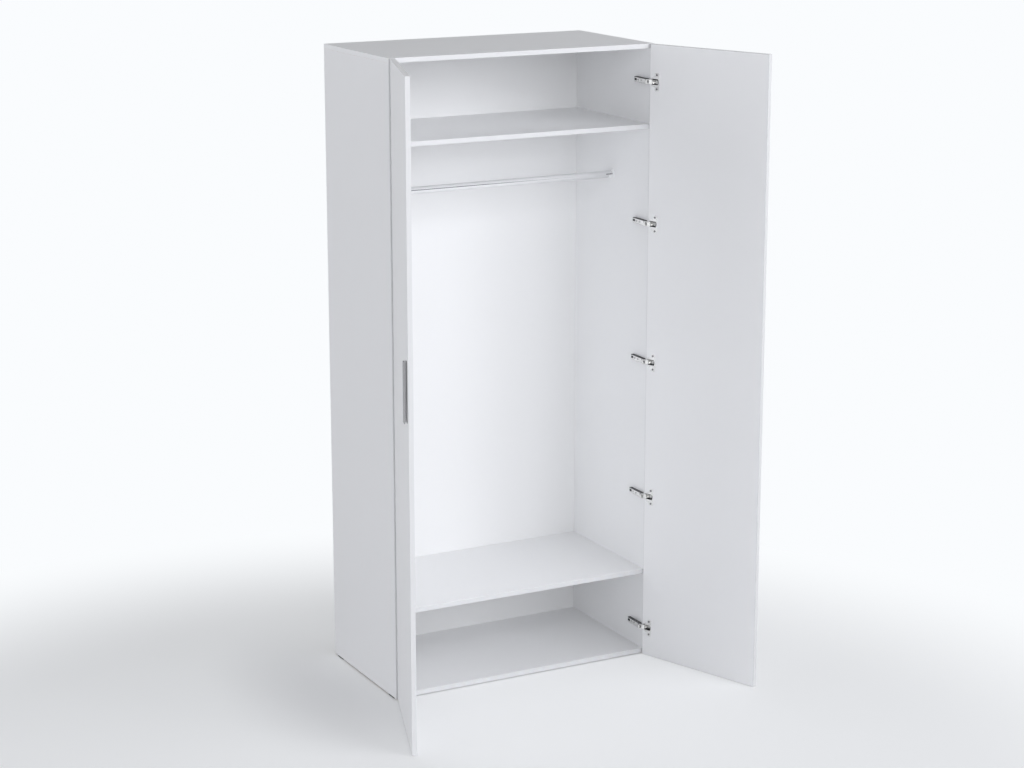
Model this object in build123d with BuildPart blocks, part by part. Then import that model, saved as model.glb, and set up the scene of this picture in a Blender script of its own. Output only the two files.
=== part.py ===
# A tall two-door wardrobe of white laminated board, standing with both doors open.
# Frame: +X to the right seen from the front, +Y to the back, +Z up, millimetres and degrees.
# The origin is on the floor, at the middle of the box around the wardrobe with its doors open.
import os
from math import atan2, cos, degrees, hypot, radians, sin

from build123d import *

os.makedirs("parts", exist_ok=True)

# Overall sizes of the carcass
width = 1000.0
depth = 516.0
height = 2200.0
board = 16.0
edge_band = 1.0
band_round = 0.5
foot_height = 5.0
upper_clear = 259.0
lower_clear = 285.0

# Back panel, held in grooves
back_thickness = 4.0
back_inset = 6.0
groove_depth = 7.0
groove_play = 0.3
back_end_play = 0.5
shelf_back_play = 0.2

# Cam locks, cam bolts and dowels that join the boards
joint_inset = 64.0
dowel_pitch = 32.0
cam_radius = 7.5
cam_depth = 12.5
cam_setback = 34.0
cam_cap = 1.0
cam_slot = 8.0
cam_cross = 9.0
cam_cross_width = 1.4
cam_cross_depth = 2.0
bolt_radius = 3.0
bolt_bore_radius = 4.0
bolt_head_radius = 3.6
bolt_head = 3.0
thread_radius = 2.5
thread_length = 11.0
dowel_radius = 4.0
dowel_in_face = 12.0
dowel_in_end = 22.0
bore_play = 0.1
bore_tip = 0.5

# Glides under the sides
foot_width = 14.0
foot_length = 46.0
foot_setback = 20.0
foot_corner = 5.0
nail_pitch = 24.0
nail_radius = 1.0
nail_head_radius = 2.6
nail_head = 1.0
nail_recess = 2.0
nail_length = 16.0

# Hanging rail and its end brackets
rail_radius = 12.5
rail_wall = 1.2
rail_drop = 191.0
rail_end_play = 0.5
bracket_plate = 3.0
bracket_radius = 21.0
socket_wall = 2.5
socket_depth = 14.0
socket_play = 0.25
bracket_screw_out = 16.6
bracket_screw_angle = 45.0

# Wood screws with pan heads
screw_radius = 1.75
screw_head_radius = 3.6
screw_head = 1.8
screw_length = 12.0
screw_cross = 4.2
screw_cross_width = 1.0
screw_cross_depth = 0.9

# Doors
door_thickness = 16.0
side_reveal = 1.5
middle_gap = 3.0
door_gap = 2.0
door_top_reveal = 0.5
door_floor_gap = 2.5
door_swing = 110.0

# Hinges: heights, then places seen from above. On the carcass a place is given inwards from the
# side panel's inner face and forwards of the carcass front. On the door it is given along the
# door from its hinged edge and into the door from its inner face.
hinge_count = 5
hinge_top_inset = 127.5
hinge_bottom_inset = 105.0
arm_pin_in = 17.0
arm_pin_ahead = 4.0
cup_pin_along = 9.6
cup_pin_deep = 3.0
link_swing = 28.0
pin_radius = 1.2
pin_play = 0.05
pin_seat_play = 0.02

# Hinge cup
cup_radius = 17.5
cup_edge = 4.0
cup_depth = 12.2
cup_wall = 1.0
cup_floor = 1.0
cup_slot = 20.0
flange = 1.0
flange_rim = 1.5
wing_width = 19.0
wing_length = 63.0
wing_corner = 5.0
wing_screw_pitch = 48.0
wing_screw_offset = 9.0
cup_pin_length = 22.8

# Hinge link
link_cheek = 1.8
link_space = 11.6
link_radius = 2.1
link_elbow_reach = 6.0
link_elbow_angle = 235.0
link_web = 2.0

# Hinge arm and its mounting plate
arm_back = 84.0
arm_front = 3.0
arm_tall = 18.0
arm_roof_in = 11.5
arm_sheet = 1.5
arm_bend = 1.2
arm_skirt_gap = 1.0
arm_notch_long = 16.0
arm_notch_tall = 8.0
nose_radius = 3.0
nose_tall = 10.8
nose_root_back = 14.0
nose_root_in = 4.0
arm_pin_length = 16.2
arm_screw_front = 38.0
arm_screw_back = 58.0
arm_screw_radius = 2.0
arm_screw_tip_in = 3.5
plate_thickness = 2.0
plate_tall = 14.4
plate_front = 14.0
plate_back = 83.0
plate_corner = 4.8
ridge_tall = 10.0
ridge_front = 30.0
ridge_back = 65.0
plate_screw_front = 22.0
plate_screw_back = 76.0

# Door pulls
pull_length = 200.0
pull_height = 1207.0
pull_setback = 28.0
pull_width = 20.0
pull_projection = 12.5
pull_base = 1.4
pull_lip = 5.0
pull_web = 3.5
pull_corner = 2.4
stud_pitch = 160.0
stud_radius = 1.2
stud_in_pull = 7.0
stud_in_door = 9.0

# Hinge kinematics, seen from above: the shut link, the open link and the open door's corner
half_width = width / 2
side_inner = half_width - board
overlay = board - side_reveal
shut_cup_in = cup_pin_along - overlay
shut_cup_ahead = door_gap + cup_pin_deep
link_length = hypot(shut_cup_in - arm_pin_in, shut_cup_ahead - arm_pin_ahead)
link_shut_angle = degrees(atan2(shut_cup_ahead - arm_pin_ahead, shut_cup_in - arm_pin_in))
link_open_angle = link_shut_angle - link_swing
cup_in = arm_pin_in + link_length * cos(radians(link_open_angle))
cup_ahead = arm_pin_ahead + link_length * sin(radians(link_open_angle))
along_in = cos(radians(door_swing))
along_ahead = sin(radians(door_swing))
corner_in = cup_in - cup_pin_along * along_in + cup_pin_deep * along_ahead
corner_ahead = cup_ahead - cup_pin_along * along_ahead - cup_pin_deep * along_in

# Places worked out from the sizes
door_width = half_width - side_reveal - middle_gap / 2
door_reach = corner_ahead + door_width * along_ahead
front = (door_reach - depth) / 2
back = (door_reach + depth) / 2
top_under = height - board
bottom_top = foot_height + board
upper_shelf_top = top_under - upper_clear
lower_shelf_top = bottom_top + lower_clear + board
side_height = top_under - foot_height
board_front = front + edge_band
board_depth = back - board_front
board_mid = (board_front + back) / 2
side_mid = (side_inner + half_width) / 2
back_front = back - back_inset - back_thickness
groove_mid = back_front + back_thickness / 2
groove_width = back_thickness + groove_play
shelf_depth = back_front - shelf_back_play - board_front
door_bottom = door_floor_gap
door_top = height - door_top_reveal
door_height = door_top - door_bottom
hinge_low = door_bottom + hinge_bottom_inset
hinge_pitch = (door_top - hinge_top_inset - hinge_low) / (hinge_count - 1)
hinge_levels = [(0, 0, hinge_low + hinge_pitch * i) for i in range(hinge_count)]
hinge_heights = [level[2] for level in hinge_levels]
cup_along = cup_edge + cup_radius
wing_along = cup_along + wing_screw_offset
wing_mid = cup_along + cup_radius + flange_rim - wing_width / 2
rail_height = upper_shelf_top - board - rail_drop
rail_mid = (front + back_front) / 2
sides = (-1, 1)

# Where each board end is fixed: bolts near the front and the back, dowels further in
bolt_places = (front + joint_inset, back - joint_inset)
dowel_places = (front + joint_inset + dowel_pitch, back - joint_inset - dowel_pitch)
shelf_levels = (foot_height, lower_shelf_top - board, upper_shelf_top - board)
shelf_middles = [level + board / 2 for level in shelf_levels]
bolt_points = [(y, z) for y in bolt_places for z in shelf_middles]
dowel_points = [(y, z) for y in dowel_places for z in shelf_middles]
top_cam_height = top_under - cam_setback

# The right-hand hinge seen from above: local x is inwards, local y is forwards
hinge_plan = Plane(origin=(side_inner, front, 0), x_dir=(-1, 0, 0), z_dir=(0, 0, 1))
along = Vector(-along_in, -along_ahead, 0)
into = Vector(along_ahead, -along_in, 0)
corner = Vector(side_inner - corner_in, front - corner_ahead, 0)
# The open right door seen from above, and its inner face with local x along it and local y up
door_plan = Plane(origin=corner, x_dir=along, z_dir=(0, 0, 1))
door_inner = Plane(origin=corner, x_dir=along, z_dir=-into)
door_outer = Plane(origin=corner + into * door_thickness, x_dir=-along, z_dir=into)
# The open link, from the arm pin towards the cup pin
arm_pin = Vector(side_inner - arm_pin_in, front - arm_pin_ahead, 0)
link_along = Vector(-cos(radians(link_open_angle)), -sin(radians(link_open_angle)), 0)
link_plan = Plane(origin=arm_pin, x_dir=link_along, z_dir=(0, 0, 1))


# Right side panel: grooved for the back, bored for bolts, dowels, cams and screws
plate_screw_points = [
    (front + back_by, z) for back_by in (plate_screw_front, plate_screw_back) for z in hinge_heights
]
bracket_screw_side = bracket_screw_out * sin(radians(bracket_screw_angle))
bracket_screw_up = bracket_screw_out * cos(radians(bracket_screw_angle))
bracket_screw_points = [
    (rail_mid + side * bracket_screw_side, rail_height + bracket_screw_up) for side in sides
]
foot_centres = (front + foot_setback + foot_length / 2, back - foot_setback - foot_length / 2)
nail_points = [
    (side_mid, y + step * nail_pitch / 2) for y in foot_centres for step in sides
]
with BuildPart() as right_side_panel:
    with BuildSketch(Plane.XY.offset(foot_height)):
        with Locations((side_mid, board_mid)):
            Rectangle(board, board_depth)
    extrude(amount=side_height)
    with BuildSketch(Plane.XY.offset(foot_height)):
        with Locations((side_inner + groove_depth / 2, groove_mid)):
            Rectangle(groove_depth, groove_width)
    extrude(amount=side_height, mode=Mode.SUBTRACT)
    with BuildSketch(Plane.YZ.offset(side_inner)):
        with Locations(*bolt_points):
            Circle(thread_radius + bore_play)
    extrude(amount=thread_length + bore_tip, mode=Mode.SUBTRACT)
    with BuildSketch(Plane.YZ.offset(side_inner)):
        with Locations(*dowel_points):
            Circle(dowel_radius + bore_play)
    extrude(amount=dowel_in_face + bore_tip, mode=Mode.SUBTRACT)
    with BuildSketch(Plane.YZ.offset(side_inner)):
        with Locations(*[(y, top_cam_height) for y in bolt_places]):
            Circle(cam_radius + bore_play)
    extrude(amount=cam_cap + cam_depth, mode=Mode.SUBTRACT)
    with BuildSketch(Plane.XY.offset(top_under)):
        with Locations(*[(side_mid, y) for y in bolt_places]):
            Circle(bolt_bore_radius)
    extrude(amount=-cam_setback, mode=Mode.SUBTRACT)
    with BuildSketch(Plane.XY.offset(top_under)):
        with Locations(*[(side_mid, y) for y in dowel_places]):
            Circle(dowel_radius + bore_play)
    extrude(amount=-dowel_in_end - bore_tip, mode=Mode.SUBTRACT)
    with BuildSketch(Plane.YZ.offset(side_inner)):
        with Locations(*plate_screw_points, *bracket_screw_points):
            Circle(screw_radius + bore_play)
    extrude(amount=screw_length + bore_tip, mode=Mode.SUBTRACT)
    with BuildSketch(Plane.XY.offset(foot_height)):
        with Locations(*nail_points):
            Circle(nail_radius + bore_play)
    extrude(amount=nail_length + bore_tip, mode=Mode.SUBTRACT)
right_side_panel.part.label = "right_side_panel"
export_step(right_side_panel.part, "parts/right_side_panel.step")

# Left side panel: the mirror image of the right one
with BuildPart() as left_side_panel:
    mirror(right_side_panel.part, about=Plane.YZ)
left_side_panel.part.label = "left_side_panel"
export_step(left_side_panel.part, "parts/left_side_panel.step")

# Top panel: lies over the sides, with the back's groove and the bores for bolts and dowels below
top_length = width - 2 * edge_band
groove_length = 2 * (side_inner + groove_depth)
with BuildPart() as top_panel:
    with BuildSketch(Plane.XY.offset(top_under)):
        with Locations((0, board_mid)):
            Rectangle(top_length, board_depth)
    extrude(amount=board)
    with BuildSketch(Plane.XY.offset(top_under)):
        with Locations((0, groove_mid)):
            Rectangle(groove_length, groove_width)
    extrude(amount=groove_depth, mode=Mode.SUBTRACT)
    with BuildSketch(Plane.XY.offset(top_under)):
        with Locations(*[(side * side_mid, y) for side in sides for y in bolt_places]):
            Circle(thread_radius + bore_play)
    extrude(amount=thread_length + bore_tip, mode=Mode.SUBTRACT)
    with BuildSketch(Plane.XY.offset(top_under)):
        with Locations(*[(side * side_mid, y) for side in sides for y in dowel_places]):
            Circle(dowel_radius + bore_play)
    extrude(amount=dowel_in_face + bore_tip, mode=Mode.SUBTRACT)
top_panel.part.label = "top_panel"
export_step(top_panel.part, "parts/top_panel.step")


# One board between the sides: bolt and dowel bores in both ends, cam bores from below
def shelf_board(level, board_length_y):
    with BuildPart() as shelf:
        with BuildSketch(Plane.XY.offset(level)):
            with Locations((0, board_front + board_length_y / 2)):
                Rectangle(2 * side_inner, board_length_y)
        extrude(amount=board)
        for side in sides:
            with BuildSketch(Plane.YZ.offset(side * side_inner)):
                with Locations(*[(y, level + board / 2) for y in bolt_places]):
                    Circle(bolt_bore_radius)
            extrude(amount=-side * cam_setback, mode=Mode.SUBTRACT)
            with BuildSketch(Plane.YZ.offset(side * side_inner)):
                with Locations(*[(y, level + board / 2) for y in dowel_places]):
                    Circle(dowel_radius + bore_play)
            extrude(amount=-side * (dowel_in_end + bore_tip), mode=Mode.SUBTRACT)
        with BuildSketch(Plane.XY.offset(level)):
            with Locations(*[(side * (side_inner - cam_setback), y) for side in sides for y in bolt_places]):
                Circle(cam_radius + bore_play)
        extrude(amount=cam_depth, mode=Mode.SUBTRACT)
    return shelf


# Bottom panel: full depth, with the back's groove in its upper face
bottom_board = shelf_board(foot_height, board_depth)
with BuildPart() as bottom_panel:
    add(bottom_board.part)
    with BuildSketch(Plane.XY.offset(bottom_top)):
        with Locations((0, groove_mid)):
            Rectangle(2 * side_inner, groove_width)
    extrude(amount=-groove_depth, mode=Mode.SUBTRACT)
bottom_panel.part.label = "bottom_panel"
export_step(bottom_panel.part, "parts/bottom_panel.step")

# Lower shelf and upper shelf: they stop at the back panel
lower_shelf = shelf_board(lower_shelf_top - board, shelf_depth)
lower_shelf.part.label = "lower_shelf"
export_step(lower_shelf.part, "parts/lower_shelf.step")

upper_shelf = shelf_board(upper_shelf_top - board, shelf_depth)
upper_shelf.part.label = "upper_shelf"
export_step(upper_shelf.part, "parts/upper_shelf.step")

# Back panel: one thin sheet that stands in the four grooves
back_side_grip = groove_depth - back_end_play
back_bottom = bottom_top - back_side_grip
back_top = top_under + back_side_grip
with BuildPart() as back_panel:
    with BuildSketch(Plane.XY.offset(back_bottom)):
        with Locations((0, groove_mid)):
            Rectangle(2 * (side_inner + back_side_grip), back_thickness)
    extrude(amount=back_top - back_bottom)
back_panel.part.label = "back_panel"
export_step(back_panel.part, "parts/back_panel.step")

# Edge bands of the carcass: strips on the front of the sides and of the boards between them
band_mid = front + edge_band / 2
with BuildPart() as side_edge_bands:
    with BuildSketch(Plane.XY.offset(foot_height)):
        with Locations(*[(side * side_mid, band_mid) for side in sides]):
            Rectangle(board, edge_band)
    extrude(amount=side_height)
    fillet(side_edge_bands.edges().filter_by(Axis.Z).group_by(Axis.Y)[0], radius=band_round)
side_edge_bands.part.label = "side_edge_bands"
export_step(side_edge_bands.part, "parts/side_edge_bands.step")

with BuildPart() as shelf_edge_bands:
    for level in shelf_levels:
        with BuildSketch(Plane.XY.offset(level)):
            with Locations((0, band_mid)):
                Rectangle(2 * side_inner, edge_band)
        extrude(amount=board)
    fillet(shelf_edge_bands.edges().filter_by(Axis.X).group_by(Axis.Y)[0], radius=band_round)
shelf_edge_bands.part.label = "shelf_edge_bands"
export_step(shelf_edge_bands.part, "parts/shelf_edge_bands.step")

# Edge band of the top: one strip round its left end, front and right end
with BuildPart() as top_edge_band:
    with BuildSketch(Plane.XY.offset(top_under)):
        with Locations((0, (front + back) / 2)):
            Rectangle(width, depth)
    extrude(amount=board)
    front_arrises = top_edge_band.edges().filter_by(Axis.X).group_by(Axis.Y)[0]
    end_arrises = top_edge_band.edges().filter_by(Axis.Y)
    fillet(front_arrises + end_arrises, radius=band_round)
    with BuildSketch(Plane.XY.offset(top_under)):
        with Locations((0, board_mid)):
            Rectangle(top_length, board_depth)
    extrude(amount=board, mode=Mode.SUBTRACT)
top_edge_band.part.label = "top_edge_band"
export_step(top_edge_band.part, "parts/top_edge_band.step")

# Dowels: two at each end of every shelf board, and two at the top of each side
shelf_ends = [
    Plane(origin=(side * side_inner, y, z), x_dir=(0, 0, 1), z_dir=(side, 0, 0))
    for side in sides
    for y in dowel_places
    for z in shelf_middles
]
side_tops = [Plane(origin=(side * side_mid, y, top_under)) for side in sides for y in dowel_places]
with BuildPart() as dowels:
    for end in shelf_ends + side_tops:
        with BuildSketch(end.offset(-dowel_in_end)):
            Circle(dowel_radius)
        extrude(amount=dowel_in_end + dowel_in_face)
dowels.part.label = "dowels"
export_step(dowels.part, "parts/dowels.step")

# Cam bolts: a thread in the face of one board, a shank and a head that reaches into the cam
bolt_ends = [
    Plane(origin=(side * side_inner, y, z), x_dir=(0, 0, 1), z_dir=(side, 0, 0))
    for side in sides
    for y in bolt_places
    for z in shelf_middles
]
bolt_tops = [Plane(origin=(side * side_mid, y, top_under)) for side in sides for y in bolt_places]
with BuildPart() as cam_bolts:
    for end in bolt_ends + bolt_tops:
        with BuildSketch(end.offset(-cam_setback)):
            Circle(bolt_head_radius)
        extrude(amount=bolt_head)
        with BuildSketch(end.offset(bolt_head - cam_setback)):
            Circle(bolt_radius)
        extrude(amount=cam_setback - bolt_head)
        with BuildSketch(end):
            Circle(thread_radius)
        extrude(amount=thread_length)
cam_bolts.part.label = "cam_bolts"
export_step(cam_bolts.part, "parts/cam_bolts.step")

# Cam locks: drums with a slot for the bolt's head and a cross for the screwdriver
shelf_cams = [
    Plane(origin=(side * (side_inner - cam_setback), y, level), x_dir=(side, 0, 0), z_dir=(0, 0, 1))
    for side in sides
    for y in bolt_places
    for level in shelf_levels
]
top_cams = [
    Plane(origin=(side * side_inner, y, top_cam_height), x_dir=(0, 0, 1), z_dir=(side, 0, 0))
    for side in sides
    for y in bolt_places
]
cam_slot_floor = (board - cam_slot) / 2
cam_slot_back = cam_radius / 2
with BuildPart() as cam_locks:
    for seats, recess in ((shelf_cams, 0), (top_cams, cam_cap)):
        for seat in seats:
            with BuildSketch(seat.offset(recess)):
                Circle(cam_radius)
            extrude(amount=cam_depth)
            with BuildSketch(seat.offset(cam_slot_floor)):
                with Locations(((cam_radius - cam_slot_back) / 2, 0)):
                    Rectangle(cam_radius + cam_slot_back, cam_slot)
            extrude(amount=cam_depth, mode=Mode.SUBTRACT)
            with BuildSketch(seat.offset(recess)):
                Rectangle(cam_cross, cam_cross_width)
                Rectangle(cam_cross_width, cam_cross)
            extrude(amount=cam_cross_depth, mode=Mode.SUBTRACT)
cam_locks.part.label = "cam_locks"
export_step(cam_locks.part, "parts/cam_locks.step")

# Cam caps: flush discs over the cams that face into the upper compartment
with BuildPart() as cam_caps:
    for side in sides:
        with BuildSketch(Plane.YZ.offset(side * side_inner)):
            with Locations(*[(y, top_cam_height) for y in bolt_places]):
                Circle(cam_radius)
        extrude(amount=side * cam_cap)
cam_caps.part.label = "cam_caps"
export_step(cam_caps.part, "parts/cam_caps.step")


# Glides: one flat rounded block under each end of both sides, nailed on
def glide(side, centre):
    with BuildPart() as foot:
        with BuildSketch():
            with Locations((side * side_mid, centre)):
                RectangleRounded(foot_width, foot_length, foot_corner)
        extrude(amount=foot_height)
        nails = [(side * side_mid, centre + step * nail_pitch / 2) for step in sides]
        with BuildSketch():
            with Locations(*nails):
                Circle(nail_head_radius + bore_play)
        extrude(amount=nail_recess + nail_head, mode=Mode.SUBTRACT)
        with BuildSketch():
            with Locations(*nails):
                Circle(nail_radius + bore_play)
        extrude(amount=foot_height, mode=Mode.SUBTRACT)
    return foot


front_left_foot = glide(-1, foot_centres[0])
front_left_foot.part.label = "front_left_foot"
export_step(front_left_foot.part, "parts/front_left_foot.step")

front_right_foot = glide(1, foot_centres[0])
front_right_foot.part.label = "front_right_foot"
export_step(front_right_foot.part, "parts/front_right_foot.step")

back_left_foot = glide(-1, foot_centres[1])
back_left_foot.part.label = "back_left_foot"
export_step(back_left_foot.part, "parts/back_left_foot.step")

back_right_foot = glide(1, foot_centres[1])
back_right_foot.part.label = "back_right_foot"
export_step(back_right_foot.part, "parts/back_right_foot.step")

# Glide nails: two through each glide, up into the side
with BuildPart() as foot_nails:
    for side in sides:
        places = [(side * x, y) for x, y in nail_points]
        with BuildSketch(Plane.XY.offset(nail_recess)):
            with Locations(*places):
                Circle(nail_head_radius)
        extrude(amount=nail_head)
        with BuildSketch(Plane.XY.offset(nail_recess + nail_head)):
            with Locations(*places):
                Circle(nail_radius)
        extrude(amount=foot_height - nail_recess - nail_head + nail_length)
foot_nails.part.label = "foot_nails"
export_step(foot_nails.part, "parts/foot_nails.step")

# Hanging rail: a round tube between the brackets
rail_half = side_inner - bracket_plate - rail_end_play
with BuildPart() as hanging_rail:
    with BuildSketch(Plane.YZ.offset(-rail_half)):
        with Locations((rail_mid, rail_height)):
            Circle(rail_radius)
            Circle(rail_radius - rail_wall, mode=Mode.SUBTRACT)
    extrude(amount=2 * rail_half)
hanging_rail.part.label = "hanging_rail"
export_step(hanging_rail.part, "parts/hanging_rail.step")

# Right rail bracket: a round plate with a socket that is open at the top
socket_inner = rail_radius + socket_play
socket_outer = socket_inner + socket_wall
bracket_face = Plane.YZ.offset(side_inner)
with BuildPart() as right_rail_bracket:
    with BuildSketch(bracket_face):
        with Locations((rail_mid, rail_height)):
            Circle(bracket_radius)
        with Locations(*bracket_screw_points):
            Circle(screw_radius + bore_play, mode=Mode.SUBTRACT)
    extrude(amount=-bracket_plate)
    with BuildSketch(bracket_face.offset(-bracket_plate)):
        with Locations((rail_mid, rail_height)):
            Circle(socket_outer)
            Circle(socket_inner, mode=Mode.SUBTRACT)
        with Locations((rail_mid, rail_height + socket_outer / 2)):
            Rectangle(2 * socket_outer, socket_outer, mode=Mode.SUBTRACT)
    extrude(amount=-socket_depth)
right_rail_bracket.part.label = "right_rail_bracket"
export_step(right_rail_bracket.part, "parts/right_rail_bracket.step")

# Left rail bracket: the mirror image
with BuildPart() as left_rail_bracket:
    mirror(right_rail_bracket.part, about=Plane.YZ)
left_rail_bracket.part.label = "left_rail_bracket"
export_step(left_rail_bracket.part, "parts/left_rail_bracket.step")

# One wood screw: a domed cross head above the origin, a plain shank below it
head_dome = screw_head / 2
with BuildPart() as wood_screw:
    with BuildSketch():
        Circle(screw_head_radius)
    extrude(amount=screw_head)
    fillet(wood_screw.edges().sort_by(Axis.Z)[-1], radius=head_dome)
    with BuildSketch(Plane.XY.offset(screw_head)):
        Rectangle(screw_cross, screw_cross_width)
        Rectangle(screw_cross_width, screw_cross)
    extrude(amount=-screw_cross_depth, mode=Mode.SUBTRACT)
    with BuildSketch():
        Circle(screw_radius)
    extrude(amount=-screw_length)

# Rail bracket screws
bracket_seats = [
    Plane(origin=(side * (side_inner - bracket_plate), y, z), x_dir=(0, 0, 1), z_dir=(-side, 0, 0))
    for side in sides
    for y, z in bracket_screw_points
]
with BuildPart() as rail_bracket_screws:
    with Locations(*[seat.location for seat in bracket_seats]):
        add(wood_screw.part)
rail_bracket_screws.part.label = "rail_bracket_screws"
export_step(rail_bracket_screws.part, "parts/rail_bracket_screws.step")

# Right hinge mounting plates: a flat strip on the side with a raised ridge that carries the arm
ridge_in = arm_roof_in - arm_sheet
plate_mid = (plate_front + plate_back) / 2
ridge_mid = (ridge_front + ridge_back) / 2
plate_face = Plane(origin=(side_inner, front, 0), x_dir=(0, 1, 0), z_dir=(-1, 0, 0))
arm_screw_places = [(arm_screw_front, 0), (arm_screw_back, 0)]
with BuildPart() as hinge_plate:
    with BuildSketch(plate_face):
        with Locations((plate_mid, 0)):
            RectangleRounded(plate_back - plate_front, plate_tall, plate_corner)
        with Locations((plate_screw_front, 0), (plate_screw_back, 0)):
            Circle(screw_radius + bore_play, mode=Mode.SUBTRACT)
    extrude(amount=plate_thickness)
    with BuildSketch(plate_face.offset(plate_thickness)):
        with Locations((ridge_mid, 0)):
            Rectangle(ridge_back - ridge_front, ridge_tall)
        with Locations(*arm_screw_places):
            Circle(arm_screw_radius + bore_play, mode=Mode.SUBTRACT)
    extrude(amount=ridge_in - plate_thickness)
with BuildPart() as right_hinge_plates:
    with Locations(*hinge_levels):
        add(hinge_plate.part)
right_hinge_plates.part.label = "right_hinge_plates"
export_step(right_hinge_plates.part, "parts/right_hinge_plates.step")

with BuildPart() as left_hinge_plates:
    mirror(right_hinge_plates.part, about=Plane.YZ)
left_hinge_plates.part.label = "left_hinge_plates"
export_step(left_hinge_plates.part, "parts/left_hinge_plates.step")

# Mounting plate screws
plate_seats = [
    Plane(origin=(side_inner - plate_thickness, y, z), x_dir=(0, 0, 1), z_dir=(-1, 0, 0))
    for y, z in plate_screw_points
]
with BuildPart() as right_plate_screws:
    with Locations(*[seat.location for seat in plate_seats]):
        add(wood_screw.part)
right_plate_screws.part.label = "right_plate_screws"
export_step(right_plate_screws.part, "parts/right_plate_screws.step")

with BuildPart() as left_plate_screws:
    mirror(right_plate_screws.part, about=Plane.YZ)
left_plate_screws.part.label = "left_plate_screws"
export_step(left_plate_screws.part, "parts/left_plate_screws.step")

# Right hinge arms: a channel over the plate, shut at the front, with a nose that holds the arm pin
# and a notch at the rear that leaves the plate's rear screw in reach
channel_in = (arm_skirt_gap + arm_roof_in) / 2
channel_deep = arm_roof_in - arm_skirt_gap
channel_mid = -(arm_back + arm_front) / 2
channel_long = arm_back - arm_front
with BuildPart() as hinge_arm:
    with BuildSketch(hinge_plan.offset(-arm_tall / 2)):
        with Locations((channel_in, channel_mid)):
            Rectangle(channel_deep, channel_long)
    extrude(amount=arm_tall)
    fillet(hinge_arm.edges().filter_by(Axis.Y).group_by(Axis.X)[0], radius=arm_bend)
    with BuildSketch(hinge_plan.offset(arm_sheet - arm_tall / 2)):
        with Locations((channel_in - arm_sheet, channel_mid - arm_sheet)):
            Rectangle(channel_deep, channel_long)
    extrude(amount=arm_tall - 2 * arm_sheet, mode=Mode.SUBTRACT)
    with BuildSketch(hinge_plan.offset(-nose_tall / 2)):
        with BuildLine():
            Polyline(
                (nose_root_in, -nose_root_back),
                (arm_roof_in, -nose_root_back),
                (arm_pin_in + nose_radius, arm_pin_ahead),
                (arm_pin_in - nose_radius, arm_pin_ahead),
                close=True,
            )
        make_face()
        with Locations((arm_pin_in, arm_pin_ahead)):
            Circle(nose_radius)
            Circle(pin_radius + pin_seat_play, mode=Mode.SUBTRACT)
    extrude(amount=nose_tall)
    with BuildSketch(plate_face.offset(arm_roof_in)):
        with Locations(*arm_screw_places):
            Circle(arm_screw_radius + bore_play)
        with Locations((arm_back - arm_notch_long / 2, 0)):
            Rectangle(arm_notch_long, arm_notch_tall)
    extrude(amount=-arm_sheet, mode=Mode.SUBTRACT)
with BuildPart() as right_hinge_arms:
    with Locations(*hinge_levels):
        add(hinge_arm.part)
right_hinge_arms.part.label = "right_hinge_arms"
export_step(right_hinge_arms.part, "parts/right_hinge_arms.step")

with BuildPart() as left_hinge_arms:
    mirror(right_hinge_arms.part, about=Plane.YZ)
left_hinge_arms.part.label = "left_hinge_arms"
export_step(left_hinge_arms.part, "parts/left_hinge_arms.step")

# Arm screws: they clamp the arm on the ridge and set the door's place
with BuildPart() as arm_screw_pair:
    with BuildSketch(plate_face.offset(arm_roof_in)):
        with Locations(*arm_screw_places):
            Circle(screw_head_radius)
    extrude(amount=screw_head)
    with BuildSketch(plate_face.offset(arm_roof_in + screw_head)):
        with Locations(*arm_screw_places):
            Rectangle(screw_cross, screw_cross_width)
            Rectangle(screw_cross_width, screw_cross)
    extrude(amount=-screw_cross_depth, mode=Mode.SUBTRACT)
    with BuildSketch(plate_face.offset(arm_screw_tip_in)):
        with Locations(*arm_screw_places):
            Circle(arm_screw_radius)
    extrude(amount=arm_roof_in - arm_screw_tip_in)
with BuildPart() as right_arm_screws:
    with Locations(*hinge_levels):
        add(arm_screw_pair.part)
right_arm_screws.part.label = "right_arm_screws"
export_step(right_arm_screws.part, "parts/right_arm_screws.step")

with BuildPart() as left_arm_screws:
    mirror(right_arm_screws.part, about=Plane.YZ)
left_arm_screws.part.label = "left_arm_screws"
export_step(left_arm_screws.part, "parts/left_arm_screws.step")

# Arm pins: each sits in a nose and carries both cheeks of a link
with BuildPart() as right_arm_pins:
    for z in hinge_heights:
        with BuildSketch(link_plan.offset(z - arm_pin_length / 2)):
            Circle(pin_radius)
        extrude(amount=arm_pin_length)
right_arm_pins.part.label = "right_arm_pins"
export_step(right_arm_pins.part, "parts/right_arm_pins.step")

with BuildPart() as left_arm_pins:
    mirror(right_arm_pins.part, about=Plane.YZ)
left_arm_pins.part.label = "left_arm_pins"
export_step(left_arm_pins.part, "parts/left_arm_pins.step")

# Right hinge links: two bent cheeks joined by a web, from the arm pin round to the cup pin
elbow = (
    link_length + link_elbow_reach * cos(radians(link_elbow_angle)),
    link_elbow_reach * sin(radians(link_elbow_angle)),
)
web_end = (elbow[0] / 2, elbow[1] / 2)
cheek_out = link_space / 2 + link_cheek
with BuildPart() as hinge_link:
    for low in (-cheek_out, link_space / 2):
        with BuildSketch(link_plan.offset(low)):
            with BuildLine():
                Polyline((0, 0), elbow, (link_length, 0))
            trace(line_width=2 * link_radius)
            with Locations((0, 0), elbow, (link_length, 0)):
                Circle(link_radius)
            with Locations((0, 0), (link_length, 0)):
                Circle(pin_radius + pin_play, mode=Mode.SUBTRACT)
        extrude(amount=link_cheek)
    with BuildSketch(link_plan.offset(-link_space / 2)):
        with BuildLine():
            Polyline(web_end, elbow)
        trace(line_width=link_web)
        with Locations(elbow):
            Circle(link_web / 2)
    extrude(amount=link_space)
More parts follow.
